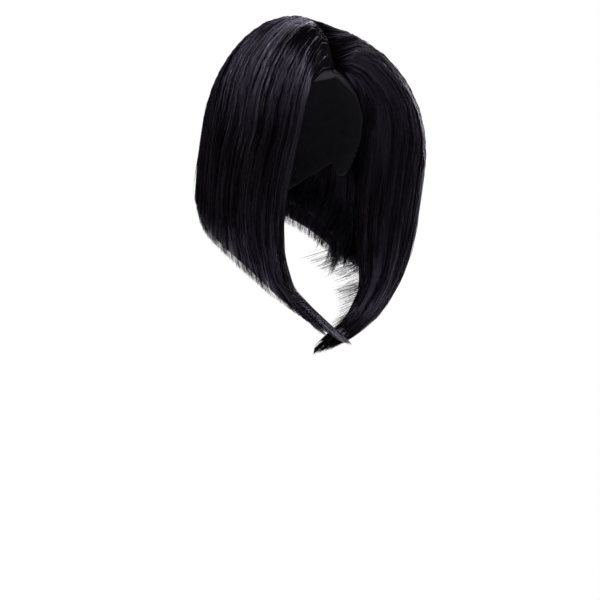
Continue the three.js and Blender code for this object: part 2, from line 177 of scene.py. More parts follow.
@dataclass(frozen=True)
class HairForm:
    """The outer surface of the hair, in millimetres, as a function of two parameters.

    around runs from the front edge (0) to the middle of the back (1); fall runs from the parting (0)
    over the place where the hair hangs free (1) to the tips (2).
    """

    cap: CapForm = CapForm()
    half_width: float = 118.0
    front_reach: float = 117.0
    back_reach: float = 96.0
    crown_volume: float = 24.0
    front_length: float = 307.0
    tail_difference: float = 16.0
    nape_length: float = 168.0
    face_half_width: float = 45.0
    parting_front: float = 61.0
    parting_back: float = 16.0
    parting_half_gap: float = 1.0
    root_depth: float = 0.6
    root_thickness: float = 40.0
    fall_thickness: float = 13.0
    tip_thickness: float = 2.4
    under_thickness: float = 4.0
    layer_clearance: float = 1.8
    under_drop: float = 10.0
    under_spread: float = 14.0
    tail_lap: float = 9.0
    lock_crown: float = 2.2
    back_from: float = 0.34
    back_blend: float = 0.34
    edge_reach: float = 0.3
    lap_from: float = 0.86
    lap_blend: float = 0.06
    valley_angle: float = 0.38
    face_thinness: float = 0.35
    face_blend: float = 0.15
    under_blend: float = 0.06
    tip_fade: float = 0.8
    thinnest: float = 1.0
    # around, across as a share of the half width, along as a share of the front or back reach
    ring_rows: tuple = (
        (0.0, 0.525, -0.897), (0.1, 0.661, -0.991), (0.22, 0.805, -1.0), (0.34, 0.94, -0.835),
        (0.46, 1.0, -0.513), (0.6, 0.907, -0.103), (0.74, 0.705, 0.36), (0.87, 0.45, 0.81),
        (0.94, 0.235, 0.95), (1.0, 0.0, 1.0),
    )
    # around, along the parting, rise, valley, turn, place of the root
    root_rows: tuple = (
        (0, 0, 0.1, 0.1, 0.264, 0), (0.12, 0.13, 0.75, 0.66, 0.334, 0.06),
        (0.25, 0.32, 0.93, 0.53, 0.367, 0.15), (0.34, 0.47, 1, 0.22, 0.365, 0.23),
        (0.42, 0.6, 1.03, 0.05, 0.352, 0.32), (0.6, 0.775, 1.04, 0.03, 0.286, 0.54),
        (0.8, 0.92, 0.98, 0, 0.286, 0.78), (1, 1, 0.92, 0, 0.286, 1),
    )
    # down, width of the front locks, of the back locks, forward, edge across, edge along
    level_rows: tuple = (
        (0.264, 0.925, 1, 0.043, 0.944, -0.63), (0.423, 0.98, 0.98, 0, 1.022, -0.661),
        (0.554, 0.99, 0.935, 0, 1.067, -0.679), (0.651, 0.96, 0.905, 0, 1.122, -0.739),
        (0.71, 0.92, 0.885, 0, 1.149, -0.81), (0.765, 0.855, 0.86, 0, 1.131, -0.868),
        (0.814, 0.78, 0.83, 0, 1.016, -0.904), (0.853, 0.71, 0.81, 0, 0.867, -0.944),
        (0.886, 0.62, 0.8, 0.02, 0.689, -0.991), (0.912, 0.51, 0.8, 0.06, 0.444, -1.041),
        (0.935, 0.4, 0.8, 0.11, 0.133, -1.111), (0.961, 0.27, 0.8, 0.18, -0.222, -1.162),
        (1, 0.1, 0.8, 0.24, -0.533, -1.188),
    )
    # around, hem of the left and of the right half from the nape length to the front length
    hem_rows: tuple = (
        (0, 1, 1), (0.05, 0.97, 1), (0.1, 0.93, 0.99), (0.22, 0.79, 0.885), (0.34, 0.61, 0.695),
        (0.46, 0.45, 0.5), (0.6, 0.31, 0.32), (0.74, 0.13, 0.13), (0.87, 0.02, 0.02), (1, 0, 0),
    )
    # around, tips of the under layer as a share of the outer hem, left and right
    under_rows: tuple = (
        (0.42, 1.03, 0.87), (0.55, 1.03, 0.87), (0.7, 0.97, 0.9), (0.85, 0.965, 0.965), (1, 0.97, 0.97),
    )

    def turn(self, around: Array) -> Array:
        """Depth below the origin at which the hair hangs free."""
        return table(self.root_rows, 4, self.front_length)(around)

    def strand(self, hanging: Array, fall: Array) -> Array:
        """Place around of a strand at a fall: its root lies further forward than where it hangs."""
        root = table(self.root_rows, 5)(hanging)
        return hanging + (root - hanging) * (1 - smooth(fall))

    def hem(self, around: Array, side: Side) -> Array:
        """Depth of the hem below the origin."""
        longest = self.front_length - (0.0 if side is Side.LEFT else self.tail_difference)
        share = table(self.hem_rows, side.column)(around)
        return self.nape_length + share * (longest - self.nape_length)

    def under_hem(self, around: Array, side: Side) -> Array:
        """Depth of the under layer's tips below the origin."""
        return self.hem(around, side) * table(self.under_rows, side.column)(around)

    def ring(self, around: Array, z: Array, side: Side) -> tuple[Array, Array]:
        """Section of the hair at a height on the left side.

        The ring's own outline is scaled by the level's widths, moved forward with the tails, and
        drawn in to the front edge with the square of the distance to it.

        Args:
            around: places around the head.
            z: heights.
            side: the half, which decides which tail laps over.

        Returns:
            The distances across and along.
        """
        down = -z / self.front_length
        levels = [table(self.level_rows, column)(down) for column in range(1, 6)]
        front, rear, ahead, edge_across, edge_along = levels
        back = smooth((around - self.back_from) / self.back_blend)
        width = front * (1 - back) + rear * back
        forward = -ahead * self.front_reach
        across_curve = table(self.ring_rows, 1, self.half_width)
        along_curve = table([
            (row[0], row[2] * (self.front_reach if row[2] < 0 else self.back_reach))
            for row in self.ring_rows
        ], 1)
        along = along_curve(around)
        edge = (1 - np.minimum(1, around / self.edge_reach)) ** 2
        edge_x = edge_across * self.face_half_width - across_curve(np.zeros(1)) * front
        edge_y = edge_along * self.front_reach - (along_curve(np.zeros(1)) + forward)
        lap = side.value * self.tail_lap / 2 * smooth((down - self.lap_from) / self.lap_blend) * (1 - back)
        along = along * np.where(along > 0, rear, 1) + forward * (1 - back) + edge_y * edge + lap
        return across_curve(around) * width + edge_x * edge, along

    def outer(self, hanging: Array, fall: Array, side: Side, longer: Array | float = 0.0) -> Array:
        """Outer surface of the hair on the left side.

        Over the head the surface is a quarter of an ellipse from the parting to the ring, with a
        valley at the root, and a strand drifts back over it; below, it keeps its place around.

        Args:
            hanging: places around the head at which the strands hang.
            fall: places along the strand.
            side: the half, which decides the length.
            longer: millimetres that a strand is longer than the hem.

        Returns:
            Points, with x, y and z in the last axis.
        """
        around = self.strand(hanging, fall)
        turn = -self.turn(around)
        hang = np.maximum(0.0, fall - 1.0)
        z = turn - (self.hem(around, side) + longer + turn) * hang
        across, along = self.ring(around, z, side)
        angle = np.minimum(1.0, fall) * np.pi / 2
        parting = self.parting_front + self.parting_back
        root_y = -self.parting_front + table(self.root_rows, 1)(around) * parting
        over_strip = float(self.cap.seat(np.zeros(1))[0])
        seat = self.cap.height(0.0 * root_y, root_y, over_strip) + self.root_depth
        rise = table(self.root_rows, 2, self.crown_volume)(around)
        valley = table(self.root_rows, 3, self.crown_volume)(around) * (1 - smooth(angle / self.valley_angle))
        dome = turn + (seat + rise - turn) * np.cos(angle) - valley
        x = self.parting_half_gap + (across - self.parting_half_gap) * np.sin(angle)
        y = root_y + (along - root_y) * np.sin(angle)
        free = fall >= 1
        return np.stack([np.where(free, across, x), np.where(free, along, y), np.where(free, z, dome)], -1)

    def depth(self, points: Array) -> tuple[Array, Array]:
        """Way out of the cap through points, and how far they lie outside the place of the roots.

        Args:
            points: points of the hair.

        Returns:
            Unit directions and distances.
        """
        cap = self.cap
        out = cap.seat(points[..., 0])
        low = points[..., 2] < -cap.depth
        origin = np.stack([0 * out, 0 * out, np.where(low, points[..., 2], -cap.depth)], -1)
        ray = points - origin
        length = np.maximum(np.linalg.norm(ray, axis=-1), TINY)
        flat = np.hypot(ray[..., 0] / (cap.half_width + out), ray[..., 1] / (cap.half_length + out))
        flat = np.maximum(flat, TINY)
        gauge = np.sqrt(flat**2 + (np.maximum(ray[..., 2], 0) / (cap.depth + out)) ** 2)
        away = np.where(low, length * (1 - cap.share(points[..., 2], out) / flat), length * (1 - 1 / gauge))
        return ray / length[..., None], away

    def thickness(self, around: Array, fall: Array, points: Array, away: Array) -> Array:
        """Thickness of the outer hair, down to the cap near the parting and thin at the tips."""
        hang = np.maximum(0.0, fall - 1.0)
        over = self.root_thickness + (self.fall_thickness - self.root_thickness) * smooth(fall)
        thinner = (self.tip_thickness - self.fall_thickness) * np.minimum(hang, 1) ** self.tip_fade
        free = self.fall_thickness + thinner
        face = self.face_thinness + (1 - self.face_thinness) * smooth(around / self.face_blend)
        under = smooth((around - self.under_rows[0][0] + self.under_blend) / self.under_blend)
        below = smooth((-points[..., 2] - self.turn(around)) / self.under_drop)
        room = (self.under_thickness + self.layer_clearance) * under * below
        return np.maximum(self.thinnest, np.minimum(np.where(fall < 1, over, free) * face, away - room))


class Socket:
    """A node output with operators: an expression on sockets adds the Math nodes that it needs."""

    def __init__(self, tree: "NodeTree", output: bpy.types.NodeSocket) -> None:
        """Wraps an output of a tree's node."""
        self.tree = tree
        self.output = output

    def _math(self, operation: str, *values: "Socket | float") -> "Socket":
        """Adds a Math node of these values."""
        return self.tree.add("Math", {"operation": operation}, dict(enumerate(values)))

    def __add__(self, other: "Socket | float") -> "Socket":
        """Sum."""
        return self._math("ADD", self, other)

    def __sub__(self, other: "Socket | float") -> "Socket":
        """Difference."""
        return self._math("SUBTRACT", self, other)

    def __rsub__(self, other: float) -> "Socket":
        """Difference, reflected."""
        return self._math("SUBTRACT", other, self)

    def __mul__(self, other: "Socket | float") -> "Socket":
        """Product."""
        return self._math("MULTIPLY", self, other)

    def sine(self) -> "Socket":
        """Sine of an angle in radians."""
        return self._math("SINE", self)

    def absolute(self) -> "Socket":
        """Size without its sign."""
        return self._math("ABSOLUTE", self)


class NodeTree:
    """The nodes of one material or world."""

    def __init__(self, owner: bpy.types.Material | bpy.types.World) -> None:
        """Empties the owner's node tree."""
        owner.use_nodes = True
        self.tree = owner.node_tree
        self.tree.nodes.clear()

    def add(
        self, kind: str, settings: dict | None = None, inputs: dict | None = None, out: int | str = 0
    ) -> Socket:
        """Adds one node.

        Args:
            kind: the node's type, without ShaderNode in front.
            settings: its properties, set first.
            inputs: values or sockets by input name or number.
            out: the output to hand back.

        Returns:
            The chosen output.
        """
        node = self.tree.nodes.new("ShaderNode" + kind)
        for name, value in (settings or {}).items():
            setattr(node, name, value)
        for name, value in (inputs or {}).items():
            if isinstance(value, Socket):
                self.tree.links.new(value.output, node.inputs[name])
            else:
                node.inputs[name].default_value = value
        return Socket(self, node.outputs[out] if len(node.outputs) else None)

    def flow(self) -> tuple[Socket, Socket]:
        """The place around the head and along the strand, from the hair's own coordinates."""
        place = self.add("UVMap", {"uv_map": "flow"})
        parts = self.tree.nodes.new("ShaderNodeSeparateXYZ")
        self.tree.links.new(place.output, parts.inputs[0])
        return Socket(self, parts.outputs[0]), Socket(self, parts.outputs[1])

    def streaks(self, across: Socket, along: Socket, narrow: float, long: float) -> Socket:
        """Noise drawn out along the strands."""
        line = self.add("CombineXYZ", None, {0: across * narrow, 1: along * long})
        return self.add("TexNoise", {"noise_dimensions": "2D"}, {"Vector": line, "Scale": 1.0})

    def ease(self, value: Socket, zero: float, one: float) -> Socket:
        """Smooth step of a value, 0 at one limit and 1 at the other."""
        inputs = {"Value": value, "From Min": zero, "From Max": one, "To Min": 0.0, "To Max": 1.0}
        return self.add("MapRange", {"interpolation_type": "SMOOTHSTEP"}, inputs)

    def bump(self, strength: float, distance: float, height: Socket) -> Socket:
        """Relief of a height."""
        return self.add("Bump", None, {"Strength": strength, "Distance": distance, "Height": height})

    def mix(self, amount: Socket, first: Triple | Socket, second: Triple | Socket) -> Socket:
        """Mixes two colours by an amount."""
        first, second = (c if isinstance(c, Socket) else (*c, 1.0) for c in (first, second))
        inputs = {0: amount, 6: first, 7: second}
        return self.add("Mix", {"data_type": "RGBA", "clamp_factor": True}, inputs, 2)


@dataclass(frozen=True)
class FibreFinish:
    """Glossy straight synthetic fibre: near black, with faint warm and cool strands."""

    name: str
    base: Triple
    tint: Triple
    roughness: float
    specular: float
    gloss: Triple = (0.75, 0.7, 1.0)
    # painted shade: the strands turn dull near the root shadow's centre by the parting's front, along the
    # roots, at the front edge and towards the tips; these fields set where and how much
    root_shadow: Triple = (-0.037, -0.074, -0.027)
    shadow_reach: tuple[float, float] = (0.054, 0.022)
    shadow_weight: float = 1.5
    root_shade_reach: float = 0.25
    root_shade_weight: float = 1.2
    tip_shade_from: float = 1.3
    tip_shade_weight: float = 0.3
    edge_reach: float = 0.08
    edge_shade_weight: float = 0.4
    dull_roughness: float = 0.75
    dull_specular: float = 0.0
    shine: float = 0.66
    contrast: float = 3.2
    strands_across: float = 900.0
    # strands across a streak, changes along it
    fine_streak: tuple[float, float] = (1.0, 2.0)
    lock_streak: tuple[float, float] = (3.0, 1.2)
    broad_streak: tuple[float, float] = (14.0, 1.6)
    fine_tint: float = 2.4
    lock_tint: float = 2.0
    mean_tint: float = 0.3
    broad_roughness: float = 0.2
    groove: float = 0.3
    groove_depth: float = 0.0006

    def material(self) -> bpy.types.Material:
        """Makes the material: glossy and dull strands side by side, fine combed grooves, and painted shade
        that turns the strands dull near the parting's front, along the roots, at the front edge and towards
        the tips.

        Returns:
            The material.
        """
        material = bpy.data.materials.new(self.name)
        nodes = NodeTree(material)
        across, along = nodes.flow()
        # streaks vary about zero
        fine, locks, broad = (
            nodes.streaks(across, along, self.strands_across / wide, long) - 0.5
            for wide, long in (self.fine_streak, self.lock_streak, self.broad_streak)
        )
        tinted = fine * self.fine_tint + locks * self.lock_tint + self.mean_tint
        colour = nodes.mix(tinted, self.base, self.tint)
        bump = nodes.bump(self.groove, self.groove_depth, fine)
        place = nodes.add("TexCoord", None, None, "Object")
        # painted shade: the mix turns to the dull shader near the root shadow's centre, along the roots, at
        # the front edge and towards the tips
        ends = {0: place, 1: self.root_shadow}
        far = nodes.add("VectorMath", {"operation": "DISTANCE"}, ends, "Value")
        shadow = nodes.ease(far, *self.shadow_reach) * self.shadow_weight
        root = nodes.ease(along, self.root_shade_reach, 0.0) * self.root_shade_weight
        tip = nodes.ease(along, self.tip_shade_from, 2.0) * self.tip_shade_weight
        edge = nodes.ease(across, self.edge_reach, 0.0) * self.edge_shade_weight
        shine = (fine + locks + broad) * self.contrast + self.shine - shadow - root - edge - tip
        dull = nodes.add("BsdfPrincipled", None, {
            "Base Color": (*self.base, 1.0), "Roughness": self.dull_roughness,
            "Specular IOR Level": self.dull_specular, "Normal": bump,
        })
        glossy = nodes.add("BsdfPrincipled", None, {
            "Base Color": colour,
            "Roughness": broad * self.broad_roughness + self.roughness,
            "Specular IOR Level": self.specular,
            "Specular Tint": (*self.gloss, 1.0),
            "Normal": bump,
        })
        shader = nodes.add("MixShader", None, {0: shine, 1: dull, 2: glossy})
        nodes.add("OutputMaterial", None, {0: shader})
        return material


@dataclass(frozen=True)
class NetFinish:
    """Black stretch net: a knitted honeycomb of fine thread."""

    name: str = "cap_net"
    thread: Triple = (0.02, 0.019, 0.021)
    hole: Triple = (0.004, 0.004, 0.005)
    mesh_size: float = 0.0022
    relief: tuple[float, float] = (0.8, 0.0006)
    roughness: float = 0.85
    specular: float = 0.2

    def material(self) -> bpy.types.Material:
        """Makes the net's colour and relief from two crossed rows of threads.

        Returns:
            The material.
        """
        material = bpy.data.materials.new(self.name)
        nodes = NodeTree(material)
        across, along = nodes.flow()
        pitch = math.pi / self.mesh_size
        first = (across + along) * pitch
        second = (across - along) * pitch
        thread = 1.0 - first.sine().absolute() * second.sine().absolute()
        colour = nodes.mix(thread * 3.0 - 1.6, self.hole, self.thread)
        shader = nodes.add("BsdfPrincipled", None, {
            "Base Color": colour, "Roughness": self.roughness, "Specular IOR Level": self.specular,
            "Normal": nodes.bump(*self.relief, thread),
        })
        nodes.add("OutputMaterial", None, {0: shader})
        return material


@dataclass(frozen=True)
class StripFinish:
    """Woven parting strip, like a pale scalp under black knots, with painted shade near black at both ends,
    where the hair lies over it.
    """

    name: str = "scalp_strip"
    cloth: Triple = (0.3, 0.27, 0.27)
    knots: Triple = (0.05, 0.045, 0.05)
    # painted shade near black at both ends of the strip, and the spans along it over which it comes in
    hidden: Triple = (0.006, 0.005, 0.006)
    front_shade_span: tuple[float, float] = (-0.05, -0.056)
    back_shade_span: tuple[float, float] = (0.006, 0.012)
    knots_per_metre: float = 1400.0
    relief: tuple[float, float] = (0.5, 0.0003)
    roughness: float = 0.75
    specular: float = 0.1

    def material(self) -> bpy.types.Material:
        """Makes the strip's weave, dotted with the knots of the roots, and painted shade near black at both
        ends, where the hair lies over it.

        Returns:
            The material.
        """
        material = bpy.data.materials.new(self.name)
        nodes = NodeTree(material)
        place = nodes.add("TexCoord", None, None, "Object")
        dots = nodes.add("TexVoronoi", None, {"Vector": place, "Scale": self.knots_per_metre})
        _, along = nodes.flow()
        weave = nodes.mix(dots * 2.2 - 0.4, self.knots, self.cloth)
        # painted shade: both ends of the strip, under the hair, turn near black
        ends = nodes.ease(along, *self.front_shade_span) + nodes.ease(along, *self.back_shade_span)
        shader = nodes.add("BsdfPrincipled", None, {
            "Base Color": nodes.mix(ends, weave, self.hidden), "Roughness": self.roughness,
            "Specular IOR Level": self.specular, "Normal": nodes.bump(*self.relief, dots),
        })
        nodes.add("OutputMaterial", None, {0: shader})
        return material


def grid_triangles(columns: int, rows: int, flip: bool) -> Array:
    """Triangles of a grid whose point numbers run column by column.

    Args:
        columns: points across.
        rows: points along.
        flip: whether the faces turn round.

    Returns:
        An array of point numbers, three a triangle.
    """
    c, r = np.meshgrid(np.arange(columns - 1), np.arange(rows - 1), indexing="ij")
    a = (c * rows + r).ravel()
    quads = np.stack([a, a + 1, a + rows + 1, a + rows], -1)
    triangles = np.concatenate([quads[:, [0, 1, 2]], quads[:, [0, 2, 3]]])
    return triangles[:, ::-1] if flip else triangles


@dataclass
class MeshParts:
    """Arrays of several meshes, joined before they go into one object."""

    points: list = field(default_factory=list)
    triangles: list = field(default_factory=list)
    uvs: list = field(default_factory=list)
    count: int = 0

    def put(self, points: Array, triangles: Array, uv: Array) -> None:
        """Adds a mesh of points, triangles and one uv per point."""
        self.points.append(points.reshape(-1, 3))
        self.triangles.append(triangles.reshape(-1, 3) + self.count)
        self.uvs.append(uv.reshape(-1, 2))
        self.count += len(self.points[-1])

    def put_shell(self, outer: Array, inner: Array, uv: Array, flip: bool) -> None:
        """Adds the space between two grids of points, closed by a wall all round.

        Args:
            outer: points, columns by rows by 3.
            inner: the same grid inside.
            uv: one uv for each point of a grid.
            flip: whether the half is mirrored.
        """
        columns, rows = outer.shape[:2]
        size = columns * rows
        number = np.arange(size).reshape(columns, rows)
        rim = np.concatenate([number[:, 0], number[-1, 1:], number[-2::-1, -1], number[0, -2:0:-1]])
        after = np.roll(rim, -1)
        walls = np.concatenate([
            np.stack([rim, after, after + size], -1),
            np.stack([rim, after + size, rim + size], -1),
        ])
        triangles = np.concatenate([
            grid_triangles(columns, rows, flip),
            grid_triangles(columns, rows, not flip) + size,
            walls[:, ::-1] if flip else walls,
        ])
        self.put(np.stack([outer, inner]), triangles, np.stack([uv, uv]))

    def to_object(self, name: str, material: bpy.types.Material) -> bpy.types.Object:
        """Puts the joined arrays into a smooth mesh object in metres.

        Args:
            name: the object's name.
            material: its finish.

        Returns:
            The object, at the origin.
        """
        points = np.concatenate(self.points) * MM
        triangles = np.concatenate(self.triangles)
        uv = np.concatenate(self.uvs)
        mesh = bpy.data.meshes.new(name)
        mesh.vertices.add(len(points))
        mesh.vertices.foreach_set("co", points.astype(np.float32).ravel())
        mesh.loops.add(triangles.size)
        mesh.loops.foreach_set("vertex_index", triangles.astype(np.int32).ravel())
        mesh.polygons.add(len(triangles))
        mesh.polygons.foreach_set("loop_start", np.arange(0, triangles.size, 3, dtype=np.int32))
        mesh.polygons.foreach_set("use_smooth", np.ones(len(triangles), bool))
        layer = mesh.uv_layers.new(name="flow")
        layer.data.foreach_set("uv", uv[triangles.ravel()].astype(np.float32).ravel())
        mesh.update(calc_edges=True)
        mesh.materials.append(material)
        piece = bpy.data.objects.new(name, mesh)
        bpy.context.scene.collection.objects.link(piece)
        return piece


def strand_tubes(paths: Array, radii: Array) -> tuple[Array, Array]:
    """Carries a three-sided section along many paths at once.

    Each section stands square to the path's tangent T: p + r (cos a B1 + sin a B2), with B1 square
    to T and the way out of the head, and B2 = T x B1. Both ends are closed by one triangle.

    Args:
        paths: strands by points by 3.
        radii: strands by points.

    Returns:
        The points and the triangles.
    """
    strands, count = paths.shape[:2]
    tangent = np.gradient(paths, axis=1)
    tangent /= np.maximum(np.linalg.norm(tangent, axis=-1, keepdims=True), 1e-9)
    outward = paths - np.array(HEAD_CENTRE)
    first = np.cross(tangent, outward)
    first /= np.maximum(np.linalg.norm(first, axis=-1, keepdims=True), 1e-9)
    second = np.cross(tangent, first)
    angles = np.arange(3) * 2 * np.pi / 3
    cosine, sine = np.cos(angles)[:, None], np.sin(angles)[:, None]
    circle = cosine * first[:, :, None, :] + sine * second[:, :, None, :]
    points = paths[:, :, None, :] + circle * radii[:, :, None, None]
    s, k, m = np.meshgrid(np.arange(strands), np.arange(count - 1), np.arange(3), indexing="ij")
    a = ((s * count + k) * 3 + m).ravel()
    b = ((s * count + k) * 3 + (m + 1) % 3).ravel()
    sides = np.concatenate([np.stack([a, b, b + 3], -1), np.stack([a, b + 3, a + 3], -1)])
    start = np.arange(strands) * count * 3
    end = start + (count - 1) * 3
    roots = np.stack([start, start + 2, start + 1], -1)
    tips = np.stack([end, end + 1, end + 2], -1)
    return points.reshape(-1, 3), np.concatenate([sides, roots, tips])


def comb(
    around: Array, start: float, end: float, clumps: int, rng: np.random.Generator
) -> tuple[Array, Array]:
    """Parts strands into clumps of uneven width.

    Args:
        around: places of the strands.
        start: front limit of the lock.
        end: back limit of the lock.
        clumps: number of clumps.
        rng: source of the unevenness.

    Returns:
        Each strand's clump, and its distance from the clump's middle in mean half widths.
    """
    limits = np.linspace(start, end, clumps + 1)
    limits[1:-1] += rng.uniform(-UNEVEN_CLUMPS, UNEVEN_CLUMPS, clumps - 1) * (end - start) / clumps
    clump = np.clip(np.searchsorted(limits, around) - 1, 0, clumps - 1)
    middles = (limits[1:] + limits[:-1]) / 2
    return clump, (around - middles[clump]) / (0.5 * (end - start) / clumps)


@dataclass
class Lock:
    """One outer lock: a combed base under loose strands."""

    name: str
    start: float
    end: float
    side: Side
    form: HairForm = HairForm()
    strands: int = 780
    strand_points: int = 13
    base_columns: int = 40
    base_rows: int = 48
    base_depth: float = 2.6
    base_shorter: float = 5.0
    longer: float = 1.5
    clumps: int = 22
    clump_relief: float = 1.1
    arch: float = 0.45
    root_lift: float = 1.0
    swing: float = 0.06
    swing_front: float = 0.2
    swing_back: float = 0.55
    sweep: float = 0.035
    inner_share: float = 0.0
    inner_curl: float = 56.0
    inner_from: float = 1.62
    inner_thicker: float = 1.5
    # how far the inner tips curl across, along and down
    inner_way: Triple = (1.0, 0.35, 0.1)
    rooted_share: float = 0.66
    lowest_root: float = 0.6
    uneven: float = 1.2
    short_share: float = 0.3
    shorter: float = 5.0
    wander: float = 0.0022
    buried: float = 2.4
    loose_share: float = 0.02
    loose_lift: float = 3.0
    seam_from: float = 0.965
    seam_crossing: float = 6.0
    strand_radius: float = 0.29
    seed: int = 1

    def crown(self, around: Array, fall: Array) -> Array:
        """Relief of a lock's rounded section: lowest at its two limits."""
        share = np.clip((around - self.start) / (self.end - self.start), 0, 1)
        fade = smooth(fall / 0.6) * (1 - 0.6 * smooth(fall - 1))
        return self.form.lock_crown * 0.7 * (np.sin(np.pi * share) - 1) * fade

    def backswing(self, around: Array, fall: Array) -> Array:
        """How far strands swing back over the crown, past the places where they hang."""
        front = smooth(around / self.swing_front)
        back = 1 - smooth((around - self.swing_back) / (1 - self.swing_back))
        return self.swing * front * back * np.sin(np.pi * np.clip(fall, 0, 1) ** 0.6)

    def base(self, parts: MeshParts) -> None:
        """Adds the closed base: the form's surface, a little inside, with fine ribs across it."""
        share, fall = np.meshgrid(
            np.linspace(0, 1, self.base_columns), np.linspace(0, 2, self.base_rows), indexing="ij"
        )
        around = self.start + 0.0012 + share * (self.end - self.start - 0.0024)
        surface = self.form.outer(around, fall, self.side, -self.base_shorter)
        direction, away = self.form.depth(surface)
        thick = self.form.thickness(self.form.strand(around, fall), fall, surface, away)
        ribs = 0.5 * np.sin(share * 61) + 0.35 * np.sin(share * 103 + 1.3 + fall)
        shallow = np.minimum(self.base_depth, 0.45 * thick)
        relief = self.crown(around, fall) - shallow + ribs * 0.5 * smooth(fall / 0.5)
        outer = surface + direction * relief[..., None]
        inner = surface - direction * thick[..., None]
        flow = np.stack([around - self.backswing(around, fall), fall], -1)
        parts.put_shell(outer * self.side.mirror, inner * self.side.mirror, flow, self.side is Side.RIGHT)

    def hair(self, parts: MeshParts, rng: np.random.Generator) -> None:
        """Adds the loose strands over the base, combed into clumps that draw together at their tips."""
        n, k = self.strands, self.strand_points
        around0 = rng.uniform(self.start, self.end, n)
        begin = np.where(rng.random(n) < self.rooted_share, 0.0, rng.random(n) ** 1.4 * self.lowest_root)
        longer = rng.normal(self.longer, self.uneven, n)
        longer -= rng.exponential(self.shorter, n) * (rng.random(n) < self.short_share)
        t = np.linspace(0, 1, k)[None, :]
        fall = begin[:, None] + (2.0 - begin[:, None]) * t
        clump, off = comb(around0, self.start, self.end, self.clumps, rng)
        pull = 0.15 + 0.4 * smooth((fall - 0.6) / 1.4) * rng.uniform(0.1, 1.0, n)[:, None]
        half_width = 0.5 * (self.end - self.start) / self.clumps
        turns = rng.uniform(1.0, 2.6, self.clumps)[clump][:, None]
        wave = np.sin(fall * turns + rng.uniform(0, 2.5, n)[:, None])
        around = around0[:, None] - (off * half_width)[:, None] * pull + self.wander * wave * smooth(fall)
        around = around + self.backswing(around0[:, None], fall)
        sweep = self.sweep * rng.uniform(0.3, 1.2, n) * (1 - smooth((around0 - 0.75) / 0.25))
        around = around - sweep[:, None] * smooth((fall - 1.35) / 0.65) ** 1.5
        around = np.clip(around, 0.0, 0.9995)
        surface = self.form.outer(around, fall, self.side, longer[:, None])
        direction, away = self.form.depth(surface)
        thick = self.form.thickness(self.form.strand(around, fall), fall, surface, away)
        deep = rng.random(n) ** 1.3 * self.buried + rng.uniform(0, self.clump_relief, self.clumps)[clump]
        deep += self.clump_relief * np.minimum(off**2, 1.5)
        arch = rng.normal(0, self.arch, self.clumps)[clump] + rng.normal(0, 0.3 * self.arch, n)
        arched = arch[:, None] * np.sin(fall * rng.uniform(2.2, 4.2, self.clumps)[clump][:, None])
        inside = np.minimum((deep[:, None] + arched) * (0.35 + 0.65 * smooth(fall / 0.5)), 0.85 * thick)
        turned_in = rng.random(self.clumps * 3) < self.inner_share
        under = turned_in[(clump * 3 + np.clip((off + 1.5), 0, 2.99).astype(int)) % len(turned_in)]
        under = under & (rng.random(n) < 0.8)
        curl = self.inner_curl * rng.uniform(0.5, 1.15, n) * under
        tip = np.clip((fall - self.inner_from) / (2 - self.inner_from), 0, 1)
        inside = np.where(under[:, None], thick, inside)
        level = direction * np.array(self.inner_way)
        fly = (rng.random(n) < self.loose_share) * rng.uniform(0.5, self.loose_lift, n)
        crest = rng.uniform(0.3, 1.9, n)[:, None]
        lift = fly[:, None] * np.exp(-(((fall - crest) / 0.35) ** 2)) * smooth(fall)
        rise = self.root_lift * rng.uniform(0.2, 1.0, n)[:, None] * np.sin(np.pi * np.clip(fall / 0.5, 0, 1))
        lift = lift + rise * ~under[:, None]
        paths = surface + direction * (self.crown(around, fall) - inside + lift)[..., None]
        paths = paths - level * (curl[:, None] * tip**2.4)[..., None]
        near_seam = np.clip((around0 - self.seam_from) / (1 - self.seam_from), 0, 1)
        paths[..., 0] -= (self.seam_crossing * near_seam * rng.uniform(0, 1, n))[:, None]
        paths = paths * self.side.mirror
        thicker = np.where(under, self.inner_thicker, 1.0)
        size = self.strand_radius * (rng.uniform(0.6, 1.25, n) * thicker)[:, None]
        radii = size * (0.35 + 0.65 * smooth(t / 0.08)) * (0.22 + 0.78 * smooth((1 - t) / 0.25))
        points, triangles = strand_tubes(paths, radii)
        u = np.repeat(around0 + rng.uniform(-0.002, 0.002, n), k * 3)
        v = np.repeat(fall.reshape(-1), 3)
        parts.put(points, triangles, np.stack([u, v], -1))

    def build(self, material: bpy.types.Material) -> bpy.types.Object:
        """Builds the lock as one piece that stands for its node.

        Args:
            material: the fibre's finish.

        Returns:
            The piece.
        """
        rng = np.random.default_rng(self.seed)
        parts = MeshParts()
        self.base(parts)
        self.hair(parts, rng)
        node = f"{self.name}_{self.side.word}"
        piece = parts.to_object(f"combed_{node}", material)
        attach(piece, "root")
        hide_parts(node)
        return piece


